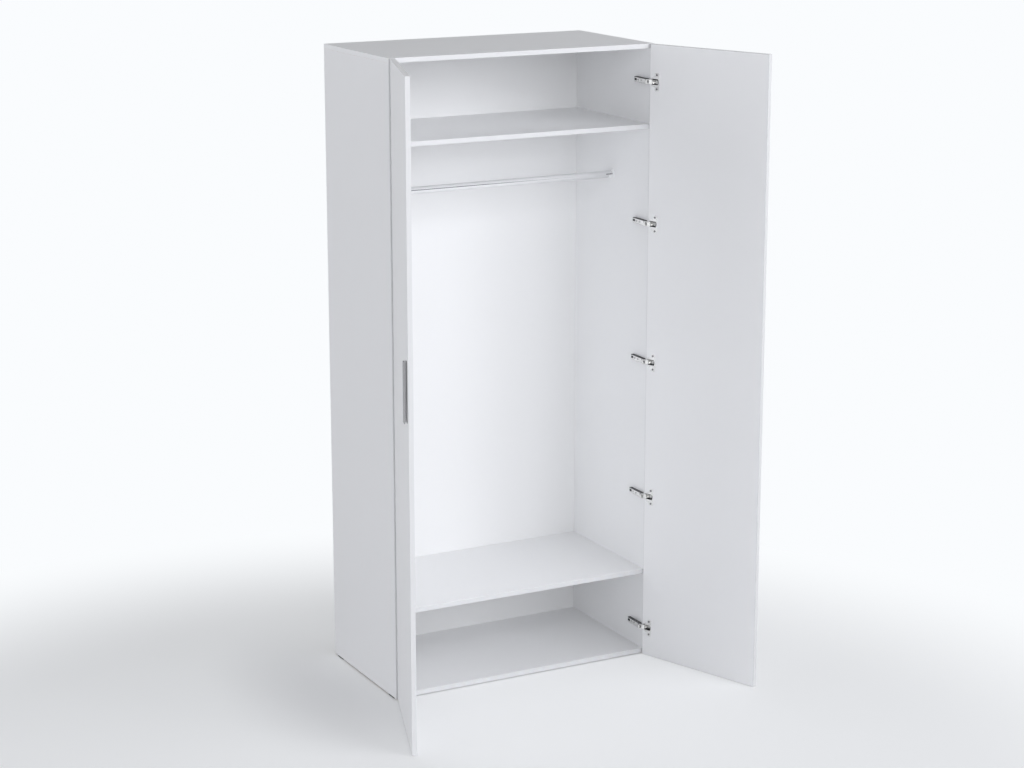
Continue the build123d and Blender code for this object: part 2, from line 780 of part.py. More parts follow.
with BuildPart() as right_hinge_links:
    with Locations(*hinge_levels):
        add(hinge_link.part)
right_hinge_links.part.label = "right_hinge_links"
export_step(right_hinge_links.part, "parts/right_hinge_links.step")

with BuildPart() as left_hinge_links:
    mirror(right_hinge_links.part, about=Plane.YZ)
left_hinge_links.part.label = "left_hinge_links"
export_step(left_hinge_links.part, "parts/left_hinge_links.step")

# Right door panel: bored for the hinge cups, their screws and the pull's studs
door_board_width = door_width - 2 * edge_band
door_board_height = door_height - 2 * edge_band
door_centre = (door_width / 2, (door_bottom + door_top) / 2)
cup_bore_depth = cup_depth + bore_play
wing_points = [
    (wing_along, z + step * wing_screw_pitch / 2) for z in hinge_heights for step in sides
]
pull_along = door_width - pull_setback - pull_width
stud_along = pull_along + pull_web / 2
stud_heights = [pull_height + step * stud_pitch / 2 for step in sides]
with BuildPart() as right_door_panel:
    with BuildSketch(door_inner):
        with Locations(door_centre):
            Rectangle(door_board_width, door_board_height)
    extrude(amount=-door_thickness)
    with BuildSketch(door_inner):
        with Locations(*[(cup_along, z) for z in hinge_heights]):
            Circle(cup_radius + bore_play)
    extrude(amount=-cup_bore_depth, mode=Mode.SUBTRACT)
    with BuildSketch(door_inner):
        with Locations(*wing_points):
            Circle(screw_radius + bore_play)
    extrude(amount=flange - screw_length - bore_tip, mode=Mode.SUBTRACT)
    with BuildSketch(door_outer):
        with Locations(*[(-stud_along, z) for z in stud_heights]):
            Circle(stud_radius + bore_play)
    extrude(amount=-stud_in_door - bore_tip, mode=Mode.SUBTRACT)
right_door_panel.part.label = "right_door_panel"
export_step(right_door_panel.part, "parts/right_door_panel.step")

with BuildPart() as left_door_panel:
    mirror(right_door_panel.part, about=Plane.YZ)
left_door_panel.part.label = "left_door_panel"
export_step(left_door_panel.part, "parts/left_door_panel.step")

# Door edge band: one strip all round the door board
with BuildPart() as right_door_edge_band:
    with BuildSketch(door_inner):
        with Locations(door_centre):
            Rectangle(door_width, door_height)
    extrude(amount=-door_thickness)
    door_faces = right_door_edge_band.faces().sort_by(Axis(corner, into))
    fillet(door_faces[0].edges() + door_faces[-1].edges(), radius=band_round)
    with BuildSketch(door_inner):
        with Locations(door_centre):
            Rectangle(door_board_width, door_board_height)
    extrude(amount=-door_thickness, mode=Mode.SUBTRACT)
right_door_edge_band.part.label = "right_door_edge_band"
export_step(right_door_edge_band.part, "parts/right_door_edge_band.step")

with BuildPart() as left_door_edge_band:
    mirror(right_door_edge_band.part, about=Plane.YZ)
left_door_edge_band.part.label = "left_door_edge_band"
export_step(left_door_edge_band.part, "parts/left_door_edge_band.step")

# Right hinge cups: a round cup sunk in the door, a flange whose wings reach the cup's far rim,
# and a slot for the link and the nose
cup_cavity = cup_depth - cup_floor + flange
with BuildPart() as hinge_cup:
    with BuildSketch(door_inner):
        with Locations((cup_along, 0)):
            Circle(cup_radius)
    extrude(amount=-cup_depth)
    with BuildSketch(door_inner):
        with Locations((cup_along, 0)):
            Circle(cup_radius + flange_rim)
        with Locations((wing_mid, 0)):
            RectangleRounded(wing_width, wing_length, wing_corner)
        with Locations(*[(wing_along, step * wing_screw_pitch / 2) for step in sides]):
            Circle(screw_radius + bore_play, mode=Mode.SUBTRACT)
    extrude(amount=flange)
    with BuildSketch(door_inner.offset(flange)):
        with Locations((cup_along, 0)):
            Circle(cup_radius - cup_wall)
            Rectangle(2 * cup_radius, cup_slot, mode=Mode.INTERSECT)
    extrude(amount=-cup_cavity, mode=Mode.SUBTRACT)
    with BuildSketch(door_plan.offset(-cup_pin_length / 2)):
        with Locations((cup_pin_along, cup_pin_deep)):
            Circle(pin_radius + pin_seat_play)
    extrude(amount=cup_pin_length, mode=Mode.SUBTRACT)
with BuildPart() as right_hinge_cups:
    with Locations(*hinge_levels):
        add(hinge_cup.part)
right_hinge_cups.part.label = "right_hinge_cups"
export_step(right_hinge_cups.part, "parts/right_hinge_cups.step")

with BuildPart() as left_hinge_cups:
    mirror(right_hinge_cups.part, about=Plane.YZ)
left_hinge_cups.part.label = "left_hinge_cups"
export_step(left_hinge_cups.part, "parts/left_hinge_cups.step")

# Cup pins: each crosses the slot of a cup and carries the far end of a link
with BuildPart() as right_cup_pins:
    for z in hinge_heights:
        with BuildSketch(door_plan.offset(z - cup_pin_length / 2)):
            with Locations((cup_pin_along, cup_pin_deep)):
                Circle(pin_radius)
        extrude(amount=cup_pin_length)
right_cup_pins.part.label = "right_cup_pins"
export_step(right_cup_pins.part, "parts/right_cup_pins.step")

with BuildPart() as left_cup_pins:
    mirror(right_cup_pins.part, about=Plane.YZ)
left_cup_pins.part.label = "left_cup_pins"
export_step(left_cup_pins.part, "parts/left_cup_pins.step")

# Cup screws: two through the wings of each flange
flange_top = door_inner.offset(flange)
with BuildPart() as right_cup_screws:
    for along_door, z in wing_points:
        seat = Plane(flange_top.from_local_coords((along_door, z, 0)), x_dir=along, z_dir=-into)
        with Locations(seat.location):
            add(wood_screw.part)
right_cup_screws.part.label = "right_cup_screws"
export_step(right_cup_screws.part, "parts/right_cup_screws.step")

with BuildPart() as left_cup_screws:
    mirror(right_cup_screws.part, about=Plane.YZ)
left_cup_screws.part.label = "left_cup_screws"
export_step(left_cup_screws.part, "parts/left_cup_screws.step")

# Right pull: a base on the door's outer face, a web, and a thick lip open towards the free edge
with BuildPart() as right_pull:
    with BuildSketch(door_plan.offset(pull_height - pull_length / 2)):
        with Locations((pull_along, door_thickness)):
            Rectangle(pull_width, pull_projection, align=(Align.MIN, Align.MIN))
        with Locations((pull_along + pull_web, door_thickness + pull_base)):
            Rectangle(
                pull_width - pull_web,
                pull_projection - pull_base - pull_lip,
                align=(Align.MIN, Align.MIN),
                mode=Mode.SUBTRACT,
            )
    extrude(amount=pull_length)
    outer_face = right_pull.faces().sort_by(Axis(corner, into))[-1]
    fillet(outer_face.edges(), radius=pull_corner)
    with BuildSketch(door_outer):
        with Locations(*[(-stud_along, z) for z in stud_heights]):
            Circle(stud_radius + bore_play)
    extrude(amount=stud_in_pull + bore_tip, mode=Mode.SUBTRACT)
right_pull.part.label = "right_pull"
export_step(right_pull.part, "parts/right_pull.step")

with BuildPart() as left_pull:
    mirror(right_pull.part, about=Plane.YZ)
left_pull.part.label = "left_pull"
export_step(left_pull.part, "parts/left_pull.step")

# Pull studs: two in each pull's web, glued into the door
with BuildPart() as right_pull_studs:
    with BuildSketch(door_outer.offset(-stud_in_door)):
        with Locations(*[(-stud_along, z) for z in stud_heights]):
            Circle(stud_radius)
    extrude(amount=stud_in_door + stud_in_pull)
right_pull_studs.part.label = "right_pull_studs"
export_step(right_pull_studs.part, "parts/right_pull_studs.step")

with BuildPart() as left_pull_studs:
    mirror(right_pull_studs.part, about=Plane.YZ)
left_pull_studs.part.label = "left_pull_studs"
export_step(left_pull_studs.part, "parts/left_pull_studs.step")
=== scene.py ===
from math import cos, pi, radians, sin

import bpy
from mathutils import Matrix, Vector


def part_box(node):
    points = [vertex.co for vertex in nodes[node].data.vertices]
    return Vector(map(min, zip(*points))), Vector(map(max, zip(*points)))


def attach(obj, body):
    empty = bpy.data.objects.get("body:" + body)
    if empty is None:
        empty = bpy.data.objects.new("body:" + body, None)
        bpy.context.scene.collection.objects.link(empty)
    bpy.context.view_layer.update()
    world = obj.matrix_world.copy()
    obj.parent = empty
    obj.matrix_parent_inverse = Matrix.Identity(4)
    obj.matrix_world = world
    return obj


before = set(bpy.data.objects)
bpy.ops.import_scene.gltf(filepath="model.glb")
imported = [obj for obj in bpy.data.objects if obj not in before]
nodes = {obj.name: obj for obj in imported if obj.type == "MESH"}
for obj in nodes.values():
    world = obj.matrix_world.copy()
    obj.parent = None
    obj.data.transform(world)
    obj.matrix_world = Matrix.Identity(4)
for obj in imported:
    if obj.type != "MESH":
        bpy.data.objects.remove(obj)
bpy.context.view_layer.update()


# Side panels
# Particle board pressed between sheets of white melamine paper, sawn to size and bored.
# The faces have a fine satin grain; the rear and lower edges are left raw, so the chips show.
laminate_light = (0.948, 0.952, 0.958, 1)
laminate_dark = (0.932, 0.936, 0.942, 1)
laminate_gloss = (0.5, 0.6)
chip_pale = (0.60, 0.45, 0.29, 1)
chip_dark = (0.30, 0.19, 0.10, 1)
chip_gloss = 0.9
# A face looks one way where its normal leans at least this far along it
square_on = 0.5


def feed(node, inputs):
    """Set each named input of a node to its value, or join it to a socket."""
    for name, value in inputs.items():
        if isinstance(value, bpy.types.NodeSocket):
            node.id_data.links.new(value, node.inputs[name])
        else:
            node.inputs[name].default_value = value


def add_node(tree, kind, inputs=None, **settings):
    """One shader node: settings are its own choices, inputs are values or sockets to join."""
    made = tree.nodes.new(kind)
    for name, value in settings.items():
        setattr(made, name, value)
    feed(made, inputs or {})
    return made


def reckon(tree, operation, *values):
    """The outcome of one sum on plain values."""
    made = add_node(tree, "ShaderNodeMath", dict(enumerate(values)), operation=operation)
    return made.outputs["Value"]


def reckon_place(tree, operation, *places, gives="Vector"):
    """The outcome of one sum on places or directions."""
    made = add_node(tree, "ShaderNodeVectorMath", dict(enumerate(places)), operation=operation)
    return made.outputs[gives]


def blend(tree, share, first, second, kind="RGBA"):
    """The first colour where the share is 0, and the second where it is 1."""
    inputs = {"Factor": share, "A": first, "B": second}
    return add_node(tree, "ShaderNodeMix", inputs, data_type=kind).outputs["Result"]


def spread(tree, value, ends, **settings):
    """A value from 0 to 1, spread between two ends."""
    inputs = {"Value": value, "To Min": ends[0], "To Max": ends[1]}
    return add_node(tree, "ShaderNodeMapRange", inputs, **settings).outputs["Result"]


def bumped(tree, height, strength, depth):
    """The normals of a surface with these bumps."""
    inputs = {"Strength": strength, "Distance": depth, "Height": height}
    return add_node(tree, "ShaderNodeBump", inputs).outputs["Normal"]


def new_group(name, inputs, outputs):
    """An empty shader node group with its named sockets."""
    group = bpy.data.node_groups.new(name, "ShaderNodeTree")
    for label, kind, value in inputs:
        group.interface.new_socket(label, in_out="INPUT", socket_type=kind).default_value = value
    for label, kind in outputs:
        group.interface.new_socket(label, in_out="OUTPUT", socket_type=kind)
    return group, group.nodes.new("NodeGroupInput").outputs, group.nodes.new("NodeGroupOutput")


def place_group(tree, group, inputs):
    """The outputs of a node group, placed in a material with its own values."""
    return add_node(tree, "ShaderNodeGroup", inputs, node_tree=group).outputs


def new_material(name):
    """A material with its shader, ready for nodes."""
    material = bpy.data.materials.new(name)
    material.use_nodes = True
    return material, material.node_tree, material.node_tree.nodes["Principled BSDF"]


def dress(material, *names):
    """Give these solids one material."""
    for name in names:
        mesh = nodes[name].data
        mesh.materials.clear()
        mesh.materials.append(material)


# Satin skin: a soft mottle for colour and gloss, and a fine grain for the bump
satin_skin, given, put_out = new_group(
    "satin_skin",
    [("Mottle", "NodeSocketFloat", 5.0), ("Grain", "NodeSocketFloat", 900.0)],
    [("Tone", "NodeSocketFloat"), ("Height", "NodeSocketFloat")],
)
place = add_node(satin_skin, "ShaderNodeTexCoord").outputs["Object"]
for scale, detail, output in (("Mottle", 4.0, "Tone"), ("Grain", 2.0, "Height")):
    noise = add_node(
        satin_skin, "ShaderNodeTexNoise", {"Vector": place, "Scale": given[scale], "Detail": detail}
    )
    feed(put_out, {output: noise.outputs["Fac"]})

# Raw chips: pressed flakes of wood, flattened along the board, shown only on its sawn edges
raw_chips, given, put_out = new_group(
    "raw_chips",
    [("Flat", "NodeSocketVector", (1, 1, 1)), ("Face", "NodeSocketVector", (1, 0, 0))],
    [("Color", "NodeSocketColor"), ("Mask", "NodeSocketFloat")],
)
coordinates = add_node(raw_chips, "ShaderNodeTexCoord").outputs
squeezed = reckon_place(raw_chips, "MULTIPLY", coordinates["Object"], given["Flat"])
flakes = add_node(raw_chips, "ShaderNodeTexVoronoi", {"Vector": squeezed, "Scale": 260.0})
dust = add_node(raw_chips, "ShaderNodeTexNoise", {"Vector": squeezed, "Scale": 700.0})
flake_tone = add_node(raw_chips, "ShaderNodeSeparateColor", {"Color": flakes.outputs["Color"]})
chip_tone = reckon(raw_chips, "MULTIPLY", flake_tone.outputs["Red"], dust.outputs["Fac"])
facing = reckon_place(raw_chips, "DOT_PRODUCT", coordinates["Normal"], given["Face"], gives="Value")
squareness = reckon(raw_chips, "ABSOLUTE", facing)
feed(
    put_out,
    {
        "Color": blend(raw_chips, chip_tone, chip_pale, chip_dark),
        "Mask": reckon(raw_chips, "LESS_THAN", squareness, square_on),
    },
)


def laminated_board(name, face, flat):
    """White laminate on the faces across `face`, raw chips on all the others."""
    material, tree, shader = new_material(name)
    skin = place_group(tree, satin_skin, {"Mottle": 4.0, "Grain": 700.0})
    chips = place_group(tree, raw_chips, {"Face": face, "Flat": flat})
    white = blend(tree, skin["Tone"], laminate_dark, laminate_light)
    satin = spread(tree, skin["Tone"], laminate_gloss)
    feed(
        shader,
        {
            "Base Color": blend(tree, chips["Mask"], white, chips["Color"]),
            "Roughness": blend(tree, chips["Mask"], satin, chip_gloss, kind="FLOAT"),
            "Specular IOR Level": 0.3,
            "Normal": bumped(tree, skin["Height"], strength=0.06, depth=0.0002),
        },
    )
    return material


side_board = laminated_board("side_board", face=(1, 0, 0), flat=(3, 1, 1))
dress(side_board, "left_side_panel", "right_side_panel")


# Top, bottom and shelves
# The same board laid flat: the top lies over the sides, the others are held between them by cams.
# Their faces look up and down, so the raw edges are at the ends and the rear.
flat_board = laminated_board("flat_board", face=(0, 0, 1), flat=(1, 1, 3))
dress(flat_board, "top_panel", "bottom_panel", "lower_shelf", "upper_shelf")


# Back panel
# One sheet of thin fibre board in the grooves, white lacquer inside, and on the rear
# the mesh print that the pressing screen leaves.
lacquer_light = (0.950, 0.953, 0.955, 1)
lacquer_dark = (0.936, 0.939, 0.941, 1)
lacquer_gloss = 0.42
rear_tint = (0.70, 0.69, 0.67, 1)
rear_gloss = 0.8
screen_pitch = 0.013823
# A wave texture of scale 1 runs through this many radians in a metre
wave_turn = 20.0


def split(tree, vector):
    """The X, Y and Z of a place or a direction."""
    return add_node(tree, "ShaderNodeSeparateXYZ", {"Vector": vector}).outputs


back_sheet, tree, shader = new_material("back_sheet")
skin = place_group(tree, satin_skin, {"Mottle": 3.0})
lacquer = blend(tree, skin["Tone"], lacquer_dark, lacquer_light)
coordinates = add_node(tree, "ShaderNodeTexCoord").outputs
rear = reckon(tree, "GREATER_THAN", split(tree, coordinates["Normal"])["Y"], square_on)
wires = [
    add_node(
        tree,
        "ShaderNodeTexWave",
        {"Vector": coordinates["Object"], "Scale": 2 * pi / (wave_turn * screen_pitch)},
        bands_direction=direction,
    ).outputs["Fac"]
    for direction in ("X", "Z")
]
screen = reckon(tree, "MULTIPLY", *wires)
printed = reckon(tree, "MULTIPLY", screen, rear)
feed(
    shader,
    {
        "Base Color": blend(tree, rear, lacquer, rear_tint),
        "Roughness": spread(tree, rear, (lacquer_gloss, rear_gloss)),
        "Specular IOR Level": 0.3,
        "Normal": bumped(tree, printed, strength=0.4, depth=0.0003),
    },
)
dress(back_sheet, "back_panel")


# Edge strips of the carcass
# Thin white plastic glued to the front edges, with rounded arrises. It is glossier than the
# laminate beside it. Where it looks forward it is painted a shade greyer, as painted shade.
strip_front_painted_shade = 0.76
strip_flank = 0.938
# How far red, green and blue stand off the grey where the plastic is darkest
strip_cast = (-0.01, -0.005, 0.003)
strip_mottle = 0.02
strip_gloss = (0.3, 0.38)


def edge_strip(name, front_painted_grey, flank_grey):
    """Edge strip with one tone on what looks forward, and another on the rest: the tones are painted
    shade.
    """
    material, tree, shader = new_material(name)
    skin = place_group(tree, satin_skin, {"Mottle": 14.0, "Grain": 1400.0})
    tones = []
    for grey in (flank_grey, front_painted_grey):
        dark = [grey + cast for cast in strip_cast] + [1]
        light = [grey + cast + strip_mottle for cast in strip_cast] + [1]
        tones.append(blend(tree, skin["Tone"], dark, light))
    normal = add_node(tree, "ShaderNodeTexCoord").outputs["Normal"]
    # Painted shade: what looks forward takes its own grey
    forward = reckon(tree, "LESS_THAN", split(tree, normal)["Y"], -square_on)
    feed(
        shader,
        {
            "Base Color": blend(tree, forward, *tones),
            "Roughness": spread(tree, skin["Tone"], strip_gloss),
            "Normal": bumped(tree, skin["Height"], strength=0.05, depth=0.0001),
        },
    )
    return material


carcass_strip = edge_strip("carcass_strip", strip_front_painted_shade, strip_flank)
dress(carcass_strip, "side_edge_bands", "shelf_edge_bands", "top_edge_band")


# Dowels
# Beech pegs, two at each end of the bottom and the shelves and two at the top of each side.
# They are glued into both boards, and the grain runs along the level ones.
beech_light = (0.74, 0.57, 0.38, 1)
beech_dark = (0.52, 0.35, 0.20, 1)
beech_grain = (40.0, 600.0, 600.0)
beech, tree, shader = new_material("beech_peg")
place = add_node(tree, "ShaderNodeTexCoord").outputs["Object"]
fibre = add_node(tree, "ShaderNodeMapping", {"Vector": place, "Scale": beech_grain})
streaks = add_node(
    tree, "ShaderNodeTexNoise", {"Vector": fibre.outputs["Vector"], "Scale": 1.0, "Detail": 4.0}
).outputs["Fac"]
feed(
    shader,
    {
        "Base Color": blend(tree, streaks, beech_light, beech_dark),
        "Roughness": 0.75,
        "Normal": bumped(tree, streaks, strength=0.3, depth=0.0003),
    },
)
dress(beech, "dowels")


# Cam bolts and cam locks
# Zinc-plated bolts in the faces of the boards and die-cast drums that pull on their heads.
# The cast drums are duller and coarser than the plated bolts.
zinc_light = (0.62, 0.62, 0.61, 1)
zinc_dark = (0.50, 0.50, 0.50, 1)
cast_light = (0.52, 0.52, 0.53, 1)
cast_dark = (0.40, 0.40, 0.41, 1)

# Metal grain: soft clouds for the tone, and streaks drawn out by Stretch for gloss and bump
metal_grain, given, put_out = new_group(
    "metal_grain",
    [("Stretch", "NodeSocketVector", (1, 1, 1)), ("Grain", "NodeSocketFloat", 800.0)],
    [("Tone", "NodeSocketFloat"), ("Height", "NodeSocketFloat")],
)
place = add_node(metal_grain, "ShaderNodeTexCoord").outputs["Object"]
drawn = reckon_place(metal_grain, "MULTIPLY", place, given["Stretch"])
streaks = add_node(
    metal_grain, "ShaderNodeTexNoise", {"Vector": drawn, "Scale": given["Grain"], "Detail": 3.0}
)
clouds = add_node(metal_grain, "ShaderNodeTexNoise", {"Vector": place, "Scale": 60.0})
feed(put_out, {"Tone": clouds.outputs["Fac"], "Height": streaks.outputs["Fac"]})


def worked_metal(name, light, dark, gloss, grain, stretch=(1, 1, 1), bump=0.1):
    """A metal whose colour and gloss vary a little, with grain drawn along one way."""
    material, tree, shader = new_material(name)
    work = place_group(tree, metal_grain, {"Stretch": stretch, "Grain": grain})
    feed(
        shader,
        {
            "Base Color": blend(tree, work["Tone"], dark, light),
            "Metallic": 1.0,
            "Roughness": spread(tree, work["Height"], gloss),
            "Normal": bumped(tree, work["Height"], strength=bump, depth=0.0001),
        },
    )
    return material


zinc_plate = worked_metal("zinc_plate", zinc_light, zinc_dark, gloss=(0.25, 0.42), grain=1500.0)
die_cast = worked_metal("die_cast", cast_light, cast_dark, gloss=(0.42, 0.62), grain=900.0, bump=0.4)
dress(zinc_plate, "cam_bolts")
dress(die_cast, "cam_locks")


# Cam caps
# Flush white plastic discs over the cams that face into the upper compartment.
# They are moulded, pressed in by hand and held by their tight fit.
cap_light = (0.944, 0.948, 0.954, 1)
cap_dark = (0.932, 0.936, 0.942, 1)


def moulded_plastic(name, light, dark, gloss, grain, bump):
    """Moulded plastic with a fine spark-eroded grain."""
    material, tree, shader = new_material(name)
    skin = place_group(tree, satin_skin, {"Mottle": 30.0, "Grain": grain})
    feed(
        shader,
        {
            "Base Color": blend(tree, skin["Tone"], dark, light),
            "Roughness": spread(tree, skin["Tone"], gloss),
            "Specular IOR Level": 0.3,
            "Normal": bumped(tree, skin["Height"], strength=bump, depth=0.0002),
        },
    )
    return material


cap_plastic = moulded_plastic(
    "cap_plastic", cap_light, cap_dark, gloss=(0.5, 0.6), grain=1500.0, bump=0.06
)
dress(cap_plastic, "cam_caps")


# Glides and their nails
# Low black plastic blocks under the front and rear ends of both sides.
# Two steel nails, sunk below the sliding face, hold each of them.
glide_light = (0.035, 0.035, 0.038, 1)
glide_dark = (0.02, 0.02, 0.022, 1)
glide_plastic = moulded_plastic(
    "glide_plastic", glide_light, glide_dark, gloss=(0.5, 0.65), grain=1200.0, bump=0.3
)
feet = [f"{end}_{side}_foot" for end in ("front", "back") for side in ("left", "right")]
dress(glide_plastic, *feet)
dress(zinc_plate, "foot_nails")


# Hanging rail and brackets
# A tube rolled from steel strip, satin plated, with its seam along the front. Its darker upper half
# and the dark band along the front are painted reflection, darkest on the left and fading into one
# flat painted tone on the right. Two die-cast sockets, lacquered white, hold its ends.
rail_light = (0.87, 0.875, 0.885, 1)
rail_dark = (0.83, 0.835, 0.845, 1)
# Painted reflection: the darker upper half, the dark band and the flat tone they fade into
rail_upper_painted_reflection = (0.64, 0.645, 0.655, 1)
rail_band_painted_reflection = (0.16, 0.165, 0.17, 1)
rail_right_painted_tone = (0.74, 0.745, 0.755, 1)
# The painted band lies between two heights above the axis, and stays dark as painted shadow
# this close to the right socket
band_low = 0.0006
band_high = 0.0036
socket_painted_shadow = 0.012
# From left to right, the painted reflection fades out between these places
painted_fade_from = -0.05
painted_fade_to = 0.38
bracket_light = (0.945, 0.95, 0.955, 1)
bracket_dark = (0.93, 0.935, 0.94, 1)
rail_low, rail_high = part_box("hanging_rail")
rail_axis = (rail_low.z + rail_high.z) / 2
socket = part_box("right_rail_bracket")[0].x
rail_plate, tree, shader = new_material("rail_plate")
work = place_group(tree, metal_grain, {"Stretch": (0.02, 1, 1), "Grain": 700.0})
plated = blend(tree, work["Tone"], rail_dark, rail_light)
place = split(tree, add_node(tree, "ShaderNodeTexCoord").outputs["Object"])
below = reckon(tree, "LESS_THAN", place["Z"], rail_axis + band_high)
above = reckon(tree, "GREATER_THAN", place["Z"], rail_axis + band_low)
painted_band = reckon(tree, "MULTIPLY", above, below)
painted_fade = add_node(
    tree, "ShaderNodeMapRange", {"Value": place["X"], "From Min": painted_fade_from, "From Max": painted_fade_to}
).outputs["Result"]
clear = reckon(tree, "LESS_THAN", place["X"], socket - socket_painted_shadow)
band_fade = reckon(tree, "MULTIPLY", painted_fade, clear)
upper_tone = blend(tree, painted_fade, rail_upper_painted_reflection, rail_right_painted_tone)
lower_tone = blend(tree, painted_fade, plated, rail_right_painted_tone)
band_tone = blend(tree, band_fade, rail_band_painted_reflection, rail_right_painted_tone)
halves = blend(tree, below, upper_tone, lower_tone)
feed(
    shader,
    {
        "Base Color": blend(tree, painted_band, halves, band_tone),
        "Metallic": 0.15,
        "Roughness": spread(tree, work["Height"], (0.44, 0.52)),
        "Specular IOR Level": 0.3,
        "Normal": bumped(tree, work["Height"], strength=0.02, depth=0.0001),
    },
)
dress(rail_plate, "hanging_rail")
bracket_lacquer = moulded_plastic(
    "bracket_lacquer", bracket_light, bracket_dark, gloss=(0.4, 0.5), grain=900.0, bump=0.05
)
dress(bracket_lacquer, "left_rail_bracket", "right_rail_bracket", "rail_bracket_screws")


# Hinges
# Pressed steel: a dull plate screwed to the side, an arm of bright nickel clamped on it, a bent
# link on two pins, and a round cup let into the door. The plate is painted near-black as painted
# shade. The arm is nickel on its outer face only; its sides, its upper bend and what looks at
# the side panel are painted dark as painted shade.
nickel_light = (0.90, 0.895, 0.885, 1)
nickel_dark = (0.83, 0.825, 0.815, 1)
# The plates' near-black is painted shade, seen through the arm's notch
dull_painted_shade_light = (0.16, 0.16, 0.165, 1)
dull_painted_shade_dark = (0.11, 0.11, 0.115, 1)
pin_light = (0.55, 0.55, 0.55, 1)
pin_dark = (0.45, 0.45, 0.45, 1)
# Painted shade on the arm's sides, its upper bend and what looks at the side panel
arm_painted_shade = (0.13, 0.13, 0.134, 1)
painted_shade_gloss = 0.8
hinge_count = 5
arm_tall = 0.018
# The arm's upper bend starts this far above the middle of its hinge; painted shade covers the arm above
# it
arm_bend = 0.0067
# A face of the arm looks at the side panel where place times normal across is more than this
panel_facing = 0.2
arms_low, arms_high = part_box("right_hinge_arms")
first_hinge = arms_low.z + arm_tall / 2
hinge_pitch = (arms_high.z - arms_low.z - arm_tall) / (hinge_count - 1)
sides = {"left": -1, "right": 1}


def nickel_steel(name):
    """Bright nickel over smooth steel."""
    return worked_metal(name, nickel_light, nickel_dark, gloss=(0.24, 0.30), grain=900.0, bump=0.02)


def nickel_with_painted_shade(name, dark, choose, *places):
    """Nickel where `choose` gives 0, and painted shade of the dark tone, dull and not metallic, where
    it gives 1.
    """
    material = nickel_steel(name)
    tree = material.node_tree
    shader = tree.nodes["Principled BSDF"]
    polished = shader.inputs["Base Color"].links[0].from_socket
    shine = shader.inputs["Roughness"].links[0].from_socket
    coordinates = add_node(tree, "ShaderNodeTexCoord").outputs
    painted_shade = choose(tree, coordinates, *places)
    feed(
        shader,
        {
            "Base Color": blend(tree, painted_shade, polished, dark),
            "Metallic": spread(tree, painted_shade, (1.0, 0.0)),
            "Roughness": blend(tree, painted_shade, shine, painted_shade_gloss, kind="FLOAT"),
            "Specular IOR Level": 0.2,
        },
    )
    return material


def any_of(tree, *masks):
    """1 where at least one of the masks is 1."""
    joined = masks[0]
    for mask in masks[1:]:
        joined = reckon(tree, "MAXIMUM", joined, mask)
    return joined


def hinge_height(tree, place):
    """Height above the middle of the nearest hinge."""
    above_first = reckon(tree, "SUBTRACT", split(tree, place)["Z"], first_hinge)
    return reckon(tree, "WRAP", above_first, hinge_pitch / 2, -hinge_pitch / 2)


def arm_shade_places(tree, coordinates):
    """1 where shade is painted: on the arm's upper and lower sides, its upper bend and all that looks
    at the side panel.
    """
    place, normal = coordinates["Object"], coordinates["Normal"]
    outwards = split(tree, reckon_place(tree, "MULTIPLY", place, normal))["X"]
    steep = reckon(tree, "ABSOLUTE", split(tree, normal)["Z"])
    return any_of(
        tree,
        reckon(tree, "GREATER_THAN", outwards, panel_facing),
        reckon(tree, "GREATER_THAN", steep, square_on),
        reckon(tree, "GREATER_THAN", hinge_height(tree, place), arm_bend),
    )


nickel = nickel_steel("nickel")
dull_steel_painted_shade = worked_metal("dull_steel_painted_shade", dull_painted_shade_light, dull_painted_shade_dark, gloss=(0.45, 0.6), grain=900.0, bump=0.2)
pin_steel = worked_metal("pin_steel", pin_light, pin_dark, gloss=(0.2, 0.35), grain=1500.0)
arm_nickel_and_shade = nickel_with_painted_shade("arm_nickel_and_shade", arm_painted_shade, arm_shade_places)
for side in sides:
    dress(dull_steel_painted_shade, f"{side}_hinge_plates", f"{side}_plate_screws")
    dress(arm_nickel_and_shade, f"{side}_hinge_arms")
    dress(zinc_plate, f"{side}_arm_screws")
    dress(nickel, f"{side}_hinge_links")
    dress(pin_steel, f"{side}_arm_pins", f"{side}_cup_pins")


# Hinge catches
# Black plastic tongues in the rear notches of the arms. Each snaps over the rear end of its
# mounting plate and keeps the arm from sliding off.
catch_light = (0.03, 0.03, 0.032, 1)
catch_dark = (0.018, 0.018, 0.02, 1)
catch_long = 0.0156
catch_tall = 0.008
catch_thick = 0.0012
catch_in = 0.0096
side_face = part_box("right_side_panel")[0].x


def block(low, high):
    """The corners and faces of a box."""
    corners = [(x, y, z) for x in (low.x, high.x) for y in (low.y, high.y) for z in (low.z, high.z)]
    faces = [(0, 1, 3, 2), (4, 6, 7, 5), (0, 4, 5, 1), (2, 3, 7, 6), (0, 2, 6, 4), (1, 5, 7, 3)]
    return corners, faces


catch_points = []
catch_faces = []
for way in sides.values():
    for number in range(hinge_count):
        middle = first_hinge + number * hinge_pitch
        inner = way * (side_face - catch_in - catch_thick)
        outer = way * (side_face - catch_in)
        low = Vector((min(inner, outer), arms_high.y - catch_long, middle - catch_tall / 2))
        high = Vector((max(inner, outer), arms_high.y, middle + catch_tall / 2))
        corners, faces = block(low, high)
        catch_faces += [tuple(len(catch_points) + corner for corner in face) for face in faces]
        catch_points += corners
catch_mesh = bpy.data.meshes.new("hinge_catches")
catch_mesh.from_pydata(catch_points, [], catch_faces)
catches = bpy.data.objects.new("hinge_catches", catch_mesh)
bpy.context.scene.collection.objects.link(catches)
catch_plastic = moulded_plastic(
    "catch_plastic", catch_light, catch_dark, gloss=(0.5, 0.65), grain=1200.0, bump=0.2
)
catch_mesh.materials.append(catch_plastic)
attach(catches, "carcass")


